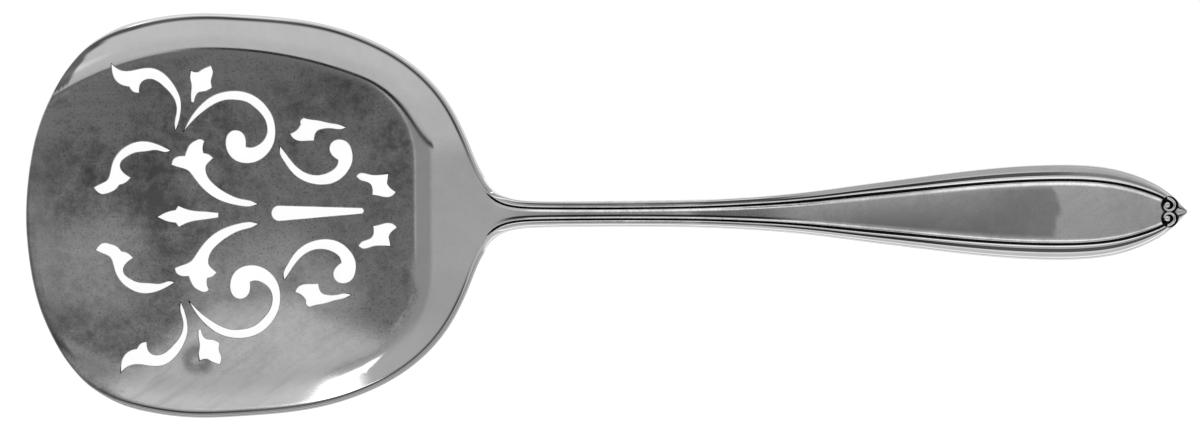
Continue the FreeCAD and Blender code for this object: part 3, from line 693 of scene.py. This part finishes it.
def make_blade(gathered, root_top, root_under):
    edge, outward = blade_edge()
    flat_out = np.concatenate([outward, np.zeros((len(edge), 1))], axis=1)
    loops = pierced_loops()
    outs = [loop_outward(loop) for loop in loops]
    walls = []
    for upward in (True, False):
        height = top_height if upward else wall_rise
        radius = blade_round(edge[:, 0]) if upward else np.full(len(edge), UNDER_ROUND)
        sign = -1 if upward else 1
        rows, normals = [], []
        lead = LEAD_RINGS if upward else ()
        wider = FRONT_WIDENING + (1 - FRONT_WIDENING) * smooth_share(edge[:, 0], 14, 24)
        rounded = [(0.0, inset, drop, angle) for inset, drop, angle in rounding(1.0, 8)]
        flat_rings = [(extra, 1.0, 0.0, 0.0) for extra in lead]
        for extra, inset, drop, angle in flat_rings + rounded:
            ring = inset_edge(edge, outward, radius * inset + extra * wider)
            place = lifted(ring, height)
            place[:, 2] += sign * drop * radius
            face = surface_normal(height, ring[:, 0], ring[:, 1], upward)
            rows.append(place)
            normals.append(face * math.cos(angle) + flat_out * math.sin(angle))
        gathered.strip(rows, normals, 0.0, False)
        walls.append(rows[-1])
        bevelled = []
        for loop, (mean, stretch) in zip(loops, outs):
            inward = np.concatenate([-mean, np.zeros((len(loop), 1))], axis=1)
            hole_rows, hole_normals = [], []
            for inset, drop, angle in rounding(HOLE_BEVEL, 3):
                ring = loop + mean * (stretch * inset)[:, None]
                if not hole_rows:
                    bevelled.append(ring)
                place = lifted(ring, height)
                place[:, 2] += sign * drop
                face = surface_normal(height, ring[:, 0], ring[:, 1], upward)
                hole_rows.append(place)
                hole_normals.append(face * math.cos(angle) + inward * math.sin(angle))
            # The rounded hole edges are painted with shade, darkest at the sharp tips
            gathered.strip(hole_rows, hole_normals, 0.25 + 0.75 * tip_darkness(loop), True)
        root = root_top if upward else root_under
        outer = inset_edge(edge, outward, radius + (lead[0] * wider if upward else 0.0))
        root = root[np.abs(root[:, 1]) < outer[-1, 1] - 0.05]
        places, faces = filled_sheet(outer, root, bevelled)
        normal = surface_normal(height, places[:, 0], places[:, 1], upward)
        if not upward:
            faces = faces[:, ::-1]
        gathered.add(lifted(places, height), normal, 0.0, faces.tolist())
    gathered.strip(walls, [flat_out, flat_out], 0.0, False)
    for loop, (mean, stretch) in zip(loops, outs):
        inward = np.concatenate([-mean, np.zeros((len(loop), 1))], axis=1)
        high = lifted(loop, top_height) - np.array([0, 0, HOLE_BEVEL])
        low = lifted(loop, wall_rise) + np.array([0, 0, HOLE_BEVEL])
        # The walls of the holes are painted dark as shade
        gathered.strip([high, low], [inward, inward], 0.9, True)


# The handle: sections across it, from one edge over the top to the other edge and back under
def border_width(half_width):
    grown = (half_width - SLIM_HALF_WIDTH) / (BROAD_HALF_WIDTH - SLIM_HALF_WIDTH)
    width = BORDER_SLIM + grown * (BORDER_BROAD - BORDER_SLIM)
    return np.where(half_width < SLIM_HALF_WIDTH, BORDER_SLIM * half_width / SLIM_HALF_WIDTH, width)


def thread_width(half_width):
    grown = np.clip((half_width - SLIM_HALF_WIDTH) / (BROAD_HALF_WIDTH - SLIM_HALF_WIDTH), 0, 1)
    shrink = np.minimum(1.0, half_width / SLIM_HALF_WIDTH)
    return (THREAD_SLIM + (THREAD_BROAD - THREAD_SLIM) * np.minimum(1, 2 * grown)) * shrink


def edge_round(x):
    near_root = 1 - float(smooth_share(x, BLADE_ROOT, BLADE_ROOT + 4))
    return HANDLE_ROUND + (TOP_ROUND - HANDLE_ROUND) * near_root


def half_section(half_width, relief, lean, radius, sunken):
    # Places from the middle to the edge: y, depth below the arched line, darkness, which is painted shade.
    # The thread's rows are shares of its width, each with its depth and darkness, the groove painted dark
    # as shade
    shrink = min(1.0, half_width / SLIM_HALF_WIDTH)
    border = float(border_width(half_width))
    band = float(thread_width(half_width))
    groove = half_width - border
    panel = groove - band
    # The panel's hollow fades out at the root, where the shank meets the blade
    drop = PANEL_DROP * sunken
    dish = PANEL_DISH * max(0.0, panel - 0.5) / 5 * min(1.0, 4 * sunken)
    crest = 0.15 * PANEL_DROP * min(relief, sunken)
    bottom = crest + GROOVE_DEPTH * relief
    fall = BORDER_FALL * border / BORDER_BROAD * relief
    foot = 0.3 * fall
    round_in = radius * lean * shrink
    rows = []
    for share in np.linspace(0, 1, 9):
        rows.append((panel * share, drop + dish * (1 - share * share), 0.0))
    thread = [
        (0.08, drop, 0.0), (0.18, drop * 0.95, 0.0), (0.29, drop * 0.80, 0.0), (0.40, drop * 0.58, 0.0),
        (0.50, drop * 0.34, 0.0), (0.59, crest * 1.05, 0.0), (0.66, crest * 0.85, 0.0),
        (0.73, crest * 1.3, 0.05),
        (0.79, crest * 0.6 + bottom * 0.4, 0.7), (0.85, crest * 0.25 + bottom * 0.75, 1.0),
        (0.92, bottom * 0.96, 1.0), (1.0, bottom, 1.0), (1.07, bottom * 0.93, 1.0),
        (1.13, bottom * 0.65 + foot * 0.35, 1.0), (1.19, bottom * 0.25 + foot * 0.75, 0.4),
        (1.25, foot * 1.15, 0.0),
    ]
    for share, low, dark in thread:
        rows.append((panel + band * share, low, dark * min(1, 3 * relief)))
    start = panel + band * 1.25
    end = half_width - round_in
    crown_start = 0.24
    crown_end = 0.42
    for share in np.linspace(0, 1, 23)[1:]:
        before = max(0.0, 1 - share / crown_start)
        after = max(0.0, share - crown_end) / (1 - crown_end)
        low = foot * before ** 2 + 0.55 * fall * after ** 2
        rows.append((start + (end - start) * share, low, 0.0))
    last_low = rows[-1][1]
    for inset, rounded, angle in rounding(radius * shrink, 5)[1:]:
        rows.append((half_width - inset * lean, last_low + rounded, 0.0))
    return rows


def sunk(x, y):
    middle_x = LENGTH - VOLUTE_FROM_END + 0.08
    apart = np.minimum(np.hypot(x - middle_x, y - VOLUTE_OFFSET), np.hypot(x - middle_x, y + VOLUTE_OFFSET))
    return 1 - smooth_share(apart, SINK_RADIUS - 0.06, SINK_RADIUS + 0.1)


def handle_rows(xs):
    top, under = [], []
    for x in xs:
        half_width = float(handle_half_width(x))
        relief = float(handle_relief(x))
        small = 0.05
        slope = float(handle_half_width(x + small) - handle_half_width(x - small)) / (2 * small)
        if x <= BLADE_ROOT + small:
            slope = float(handle_half_width(x + 2 * small) - handle_half_width(x)) / (2 * small)
        lean = math.sqrt(1 + min(slope * slope, 4.0))
        thickness = float(handle_thickness(x))
        shrink = min(1.0, half_width / SLIM_HALF_WIDTH)
        arch = float(arch_height(x))
        sunken = float(smooth_share(x, BLADE_ROOT - 1, BLADE_ROOT + 12)) * min(1.0, relief * 1.2)
        sunken *= 0.6 + 0.4 * float(smooth_share(x, 108, 128))
        half = half_section(half_width, relief, lean, edge_round(x), sunken)
        top.append([(x, y, arch - low, dark) for y, low, dark in half])
        radius = UNDER_ROUND * shrink
        back = []
        for inset, rounded, angle in reversed(rounding(radius, 4)):
            back.append((x, half_width - inset * lean, arch - thickness + rounded, 0.0))
        inner = half_width - radius * lean
        for share in np.linspace(1, 0, 13)[1:]:
            back.append((x, inner * share, arch - thickness, 0.0))
        under.append(back)
    return np.array(top), np.array(under)


def make_handle(gathered):
    near_root = np.arange(BLADE_ROOT, BLADE_ROOT + END_STRETCH, ROOT_STEP)
    middle = np.arange(BLADE_ROOT + END_STRETCH, LENGTH - END_STRETCH, HANDLE_STEP)
    near_tip = np.arange(LENGTH - END_STRETCH, LENGTH - 0.04, TIP_STEP)
    xs = np.concatenate([near_root, middle, near_tip, [LENGTH - 0.03]])
    top, under = handle_rows(xs)
    sink = sunk(top[..., 0], top[..., 1])
    floor = arch_height(top[..., 0]) - SINK_DEPTH
    deeper = np.minimum(top[..., 2], floor)
    top[..., 2] = top[..., 2] * (1 - sink) + deeper * sink
    # The sunken ground around the volutes is painted dark as shade
    top[..., 3] = np.maximum(top[..., 3], sink)
    ring = np.concatenate([top, under], axis=1)
    mirror = ring[:, ::-1] * np.array([1, -1, 1, 1])
    whole = np.concatenate([mirror[:, len(under[0]):], top[:, 1:]], axis=1)
    belly = np.concatenate([under, under[:, ::-1][:, 1:] * np.array([1, -1, 1, 1])], axis=1)
    for grid, upward in ((whole, True), (belly, False)):
        places = grid[..., :3]
        along = np.gradient(places, axis=0)
        across = np.gradient(places, axis=1)
        normal = np.cross(along, across)
        if (normal[0, grid.shape[1] // 2, 2] > 0) != upward:
            normal = -normal
        normal /= np.maximum(np.linalg.norm(normal, axis=2), 1e-9)[..., None]
        if upward:
            inner = len(rounding(TOP_ROUND)) - 1
            blade_normal = np.array([-math.sin(WALL_SLOPE), 0, math.cos(WALL_SLOPE)])
            middle_part = normal[:, inner:-inner]
            share = (1 - smooth_share(places[:, inner:-inner, 0], BLADE_ROOT, BLADE_ROOT + 0.9))[..., None]
            normal[:, inner:-inner] = middle_part * (1 - share) + blade_normal * share
        gathered.strip(places, normal, grid[..., 3], False)
    end_top = whole[-1, :, :3]
    end_under = belly[-1, :, :3]
    cap = np.concatenate([end_top, end_under[1:-1]])
    facing = np.tile([1.0, 0, 0], (len(cap), 1))
    gathered.add(cap, facing, 0.0, [tuple(range(len(cap)))])
    side_top = np.stack([whole[:, -1, :3], belly[:, 0, :3]])
    side_low = np.stack([belly[:, -1, :3], whole[:, 0, :3]])
    for rows, y in ((side_top, 1.0), (side_low, -1.0)):
        facing = np.tile([0, y, 0], (2, rows.shape[1], 1)).astype(float)
        gathered.strip(rows, facing, 0.0, False)
    return whole[0], belly[0]


# The two volutes at the tip: a curled bead and a round eye each
def tip_place(along, across, above):
    x = LENGTH - VOLUTE_FROM_END
    slope = (float(arch_height(x + 1)) - float(arch_height(x - 1))) / 2
    return np.array([x + along, across, float(arch_height(x)) + slope * along + above])


def curled_bead(gathered, side):
    turns = np.linspace(math.radians(105), math.radians(-172), 70)
    places, normals = [], []
    for i, turn in enumerate(turns):
        share = i / (len(turns) - 1)
        radius = VOLUTE_RADIUS + 0.3 * max(0.0, 1 - share / 0.2) ** 2 - 0.12 * max(0.0, share - 0.8) / 0.2
        bead = RING_BEAD * (1 - 0.15 * share)
        along = np.array([math.cos(turn), side * math.sin(turn), 0])
        middle = tip_place(0, side * VOLUTE_OFFSET, -0.13) + along * radius
        row, facing = [], []
        for k in range(13):
            around = math.pi * k / 12
            out = along * math.cos(around) + np.array([0, 0, 1]) * math.sin(around)
            row.append(middle + out * bead)
            facing.append(out)
        places.append(row)
        normals.append(facing)
    gathered.strip(places, normals, 0.0, False)


def round_eye(gathered, side):
    centre = tip_place(-EYE_OFFSET, side * (VOLUTE_OFFSET + 0.02), -0.36)
    places, normals = [], []
    for i in range(11):
        tilt = math.pi / 2 * i / 10
        row, facing = [], []
        for k in range(28):
            around = 2 * math.pi * k / 28
            flat = math.cos(tilt)
            out = np.array([math.cos(around) * flat, math.sin(around) * flat, math.sin(tilt)])
            row.append(centre + out * np.array([EYE_RADIUS, EYE_RADIUS, EYE_RADIUS * 0.95]))
            facing.append(out)
        places.append(row)
        normals.append(facing)
    gathered.strip(places, normals, 0.0, True)


# Material
def add_node(tree, kind, **settings):
    node = tree.nodes.new(kind)
    for key, value in settings.items():
        if key in node.inputs:
            node.inputs[key].default_value = value
        else:
            setattr(node, key, value)
    return node


def empty_tree(owner):
    owner.use_nodes = True
    owner.node_tree.nodes.clear()
    return owner.node_tree


def feed(tree, node, values):
    for place, value in values.items():
        if isinstance(value, bpy.types.NodeSocket):
            tree.links.new(value, node.inputs[place])
        else:
            node.inputs[place].default_value = value


def ranged(tree, source, low, high, first, last, kind="LINEAR"):
    node = add_node(tree, "ShaderNodeMapRange", interpolation_type=kind)
    feed(tree, node, {"Value": source, "From Min": low, "From Max": high, "To Min": first, "To Max": last})
    return node.outputs["Result"]


def maths(tree, operation, *values):
    node = add_node(tree, "ShaderNodeMath", operation=operation)
    feed(tree, node, dict(enumerate(values)))
    return node.outputs[0]


def silver_material():
    material = bpy.data.materials.new("worn_silver_plate_with_painted_shade")
    tree = empty_tree(material)
    link = tree.links.new
    output = add_node(tree, "ShaderNodeOutputMaterial")
    shader = add_node(tree, "ShaderNodeBsdfPrincipled")
    shader.inputs["Metallic"].default_value = 1.0
    link(shader.outputs["BSDF"], output.inputs["Surface"])
    where = add_node(tree, "ShaderNodeTexCoord").outputs["Object"]

    def noise(vector, **settings):
        node = add_node(tree, "ShaderNodeTexNoise", **settings)
        link(vector, node.inputs["Vector"])
        return node.outputs["Fac"]

    def ramp(source, low, high, first, last):
        return ranged(tree, source, low, high, first, last)

    def combine(operation, *values):
        return maths(tree, operation, *values)

    def shaded(base, grey, share):
        node = add_node(tree, "ShaderNodeMix", data_type="RGBA")
        feed(tree, node, {0: share, 6: base, 7: (grey, grey, grey, 1)})
        return node.outputs[2]

    # Noises: broad patches, clouds, fine mottling, specks, streaks along the handle, slanting scratches
    patches = noise(where, Scale=32.0, Detail=2.0, Roughness=0.5)
    clouds = noise(where, Scale=95.0, Detail=6.0, Roughness=0.62, Distortion=0.5)
    mottle = noise(where, Scale=420.0, Detail=9.0, Roughness=0.8)
    specks = noise(where, Scale=3000.0, Detail=1.0, Roughness=0.5)
    drawn = add_node(tree, "ShaderNodeMapping")
    feed(tree, drawn, {"Vector": where, "Scale": (60.0, 900.0, 60.0)})
    streaks = noise(drawn.outputs[0], Scale=1.0, Detail=4.0, Roughness=0.6)
    rubbed = add_node(tree, "ShaderNodeMapping", vector_type="TEXTURE")
    feed(tree, rubbed, {"Vector": where, "Scale": (0.012, 0.0011, 0.012)})
    rubbed.inputs["Rotation"].default_value = (0, 0, math.radians(34))
    scratches = noise(rubbed.outputs[0], Scale=1.0, Detail=4.0, Roughness=0.65)

    wear_and_dark_reflection, scuff_and_sheen, painted_shade, tarnish_and_reflection_edge = [
        add_node(tree, "ShaderNodeAttribute", attribute_name=label).outputs["Fac"]
        for label in ("wear_and_dark_reflection", "scuff_and_sheen", "painted_shade", "tarnish_and_reflection_edge")
    ]

    # Tone: bright metal, darkened in turn by stains that carry painted dark reflection and are lighter
    # where scuffed as a painted sheen, film, specks, rubs, tarnish with its painted reflection edge, and
    # painted shade in hollows
    clouded = combine("MULTIPLY_ADD", mottle, 1.1, clouds)
    clouded = combine("MULTIPLY_ADD", patches, 0.9, clouded)
    wear_and_reflection_share = combine("MULTIPLY", wear_and_dark_reflection, ramp(scuff_and_sheen, 0, 1, 1.0, 0.2))
    stain_and_dark_reflection = combine("MULTIPLY", ramp(clouded, 1.34, 1.74, 0.0, 1.0), ramp(wear_and_reflection_share, 0, 1, 0.10, 1.0))
    tone = shaded((0.90, 0.90, 0.90, 1), 0.25, stain_and_dark_reflection)
    film = combine("MULTIPLY", wear_and_reflection_share, ramp(streaks, 0.45, 0.70, 0.0, 0.2))
    tone = shaded(tone, 0.45, film)
    speck = combine("MULTIPLY", ramp(specks, 0.58, 0.70, 0.0, 1.0), ramp(wear_and_reflection_share, 0, 1, 0.04, 0.6))
    tone = shaded(tone, 0.22, speck)
    rubs = combine("MULTIPLY", scuff_and_sheen, ramp(scratches, 0.50, 0.72, 0.0, 0.28))
    tone = shaded(tone, 0.42, rubs)
    tone = shaded(tone, 0.34, combine("MULTIPLY", tarnish_and_reflection_edge, ramp(clouded, 1.25, 1.75, 0.66, 0.98)))
    # Painted shade in hollows and painted dark reflections along edges and lines
    tone = shaded(tone, 0.012, painted_shade)
    link(tone, shader.inputs["Base Color"])

    dull = combine("MULTIPLY", wear_and_dark_reflection, ramp(clouded, 1.2, 1.85, 0.04, 0.20))
    dull = combine("ADD", dull, ramp(clouded, 1.2, 1.85, 0.05, 0.09))
    link(combine("MULTIPLY_ADD", scuff_and_sheen, 0.48, dull), shader.inputs["Roughness"])
    return material


# Light: a pale tent with a dark opening overhead, and a plain white floor.
# Each band of the tent has a brightness and the two leans toward Y, in degrees, where it comes in
TENT_HORIZON = 0.04
TENT_BANDS = [
    (1.05, -82, -74), (0.56, -52, -44), (0.50, -34, -16), (0.36, -12, 4), (0.42, 14, 34), (1.02, 54, 68),
]


def make_world():
    world = bpy.data.worlds.new("pale_tent")
    bpy.context.scene.world = world
    tree = empty_tree(world)
    link = tree.links.new
    output = add_node(tree, "ShaderNodeOutputWorld")
    background = add_node(tree, "ShaderNodeBackground")
    link(background.outputs[0], output.inputs["Surface"])
    background.inputs["Strength"].default_value = 1.0
    where = add_node(tree, "ShaderNodeTexCoord")
    split = add_node(tree, "ShaderNodeSeparateXYZ")
    link(where.outputs["Generated"], split.inputs[0])

    def ramp(source, low, high, first=0.0, last=1.0):
        return ranged(tree, source, math.radians(low), math.radians(high), first, last, "SMOOTHSTEP")

    def fade(source, low, high):
        return ramp(source, low, high, 1.0, 0.0)

    def times(first, second):
        return maths(tree, "MULTIPLY", first, second)

    def within(source, start, full, falling, end):
        return times(ramp(source, start, full), fade(source, falling, end))

    def between(first, second, share):
        node = add_node(tree, "ShaderNodeMix", data_type="FLOAT")
        feed(tree, node, {0: share, 2: first, 3: second})
        return node.outputs[0]

    lean_x = maths(tree, "ARCTAN2", split.outputs["X"], split.outputs["Z"])
    lean_y = maths(tree, "ARCTAN2", split.outputs["Y"], split.outputs["Z"])
    light = TENT_HORIZON
    for brightness, low, high in TENT_BANDS:
        light = between(light, brightness, ramp(lean_y, low, high))
    light = between(light, 1.02, times(ramp(lean_y, 44, 50), fade(lean_x, 0, 4)))
    # Over the rise of the handle the tent is darker, and a small bright spot lights the lower right
    light = between(light, 0.27, times(within(lean_x, -36, -28, -9, -6), within(lean_y, -7, -4, 10, 24)))
    spot = times(within(lean_x, -18.5, -17.5, -15.5, -12.5), within(lean_y, 20, 30, 40, 43))
    light = between(light, 3.0, spot)
    # The dark opening overhead: a clear edge with a black rim over the blade, a soft one beyond
    outer = between(ramp(lean_y, -6.6, -6), ramp(lean_y, -9, -8), ramp(lean_x, -22, -8))
    rim = times(within(lean_x, -38.5, -36, -3.3, -2.5), times(outer, fade(lean_y, -4.5, -4)))
    light = between(light, 0.01, rim)
    clear = times(ramp(lean_y, -4.5, -4), fade(lean_x, 1, 4))
    soft = times(ramp(lean_y, -12, 6), ramp(lean_x, 1, 4))
    dark = times(maths(tree, "ADD", clear, soft), fade(lean_y, 12, 26))
    light = between(light, 0.14, times(within(lean_x, -6, -3.8, 19, 27), dark))
    light = between(light, 0.05, times(within(lean_x, -5, -2, 30, 44), within(lean_y, 6, 9, 14, 26)))
    # Over the broad end of the handle: a narrow black opening between two brighter bands
    beyond = within(lean_x, 3, 7, 30, 40)
    light = between(light, 0.75, times(beyond, within(lean_y, -28, -20, -14, -9)))
    light = between(light, 0.55, times(beyond, within(lean_y, 9, 14, 20, 28)))
    opening = times(beyond, within(lean_y, -12, -8, 8, 12))
    light = between(light, ramp(lean_x, 20, 25, 0.03, 0.09), opening)
    link(light, background.inputs["Color"])


def make_floor():
    half = 2.5
    mesh = bpy.data.meshes.new("floor")
    corners = [(-half, -half, 0), (half, -half, 0), (half, half, 0), (-half, half, 0)]
    mesh.from_pydata(corners, [], [(0, 1, 2, 3)])
    floor = bpy.data.objects.new("floor", mesh)
    floor.location.z = -0.0002
    bpy.context.scene.collection.objects.link(floor)
    material = bpy.data.materials.new("white_paper")
    tree = empty_tree(material)
    link = tree.links.new
    output = add_node(tree, "ShaderNodeOutputMaterial")
    paper = add_node(tree, "ShaderNodeBsdfDiffuse", Color=(0.8, 0.8, 0.8, 1))
    glow = add_node(tree, "ShaderNodeEmission", Color=(1, 1, 1, 1), Strength=0.93)
    faint = add_node(tree, "ShaderNodeBsdfDiffuse", Color=(0.22, 0.22, 0.22, 1))
    rays = add_node(tree, "ShaderNodeLightPath").outputs
    seen = maths(tree, "MAXIMUM", rays["Is Camera Ray"], rays["Is Glossy Ray"])
    seen = maths(tree, "MAXIMUM", seen, rays["Is Transmission Ray"])
    both = add_node(tree, "ShaderNodeAddShader")
    link(faint.outputs[0], both.inputs[0])
    link(glow.outputs[0], both.inputs[1])
    mix = add_node(tree, "ShaderNodeMixShader")
    feed(tree, mix, {0: seen, 1: paper.outputs[0], 2: both.outputs[0]})
    link(mix.outputs[0], output.inputs["Surface"])
    mesh.materials.append(material)


# Camera: straight above, with the long lens and the slight roll of the photograph
PHOTO_WIDTH = 1200
PHOTO_MM_PER_PIXEL = 0.16939
CAMERA_LENS = 200.0
CAMERA_SENSOR = 36.0
CAMERA_AIM = (-0.0011, -0.0006, 0.003)
CAMERA_ROLL = math.radians(-0.22)


def make_camera():
    data = bpy.data.cameras.new("camera")
    data.sensor_width = CAMERA_SENSOR
    data.sensor_fit = "HORIZONTAL"
    data.lens = CAMERA_LENS
    camera = bpy.data.objects.new("camera", data)
    view_width = PHOTO_WIDTH * PHOTO_MM_PER_PIXEL * MM
    distance = view_width * CAMERA_LENS / CAMERA_SENSOR
    camera.location = (CAMERA_AIM[0], CAMERA_AIM[1], CAMERA_AIM[2] + distance)
    camera.rotation_euler = (0, 0, CAMERA_ROLL)
    bpy.context.scene.collection.objects.link(camera)
    bpy.context.scene.camera = camera


def make_server():
    gathered = Gathered()
    root_top_row, root_under_row = make_handle(gathered)
    inner = len(rounding(TOP_ROUND))
    top = root_top_row[inner:-inner, :2]
    under_inner = len(rounding(UNDER_ROUND, 4)) - 1
    under = root_under_row[under_inner:-under_inner, :2]
    make_blade(gathered, top[::-1], under)
    for side in (1, -1):
        curled_bead(gathered, side)
        round_eye(gathered, side)
    return gathered.build("silver_server")


bpy.context.scene.view_settings.view_transform = "Standard"
server = make_server()
server.data.materials.append(silver_material())
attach(server, "root")
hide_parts("tomato_server")
make_floor()
make_world()
make_camera()
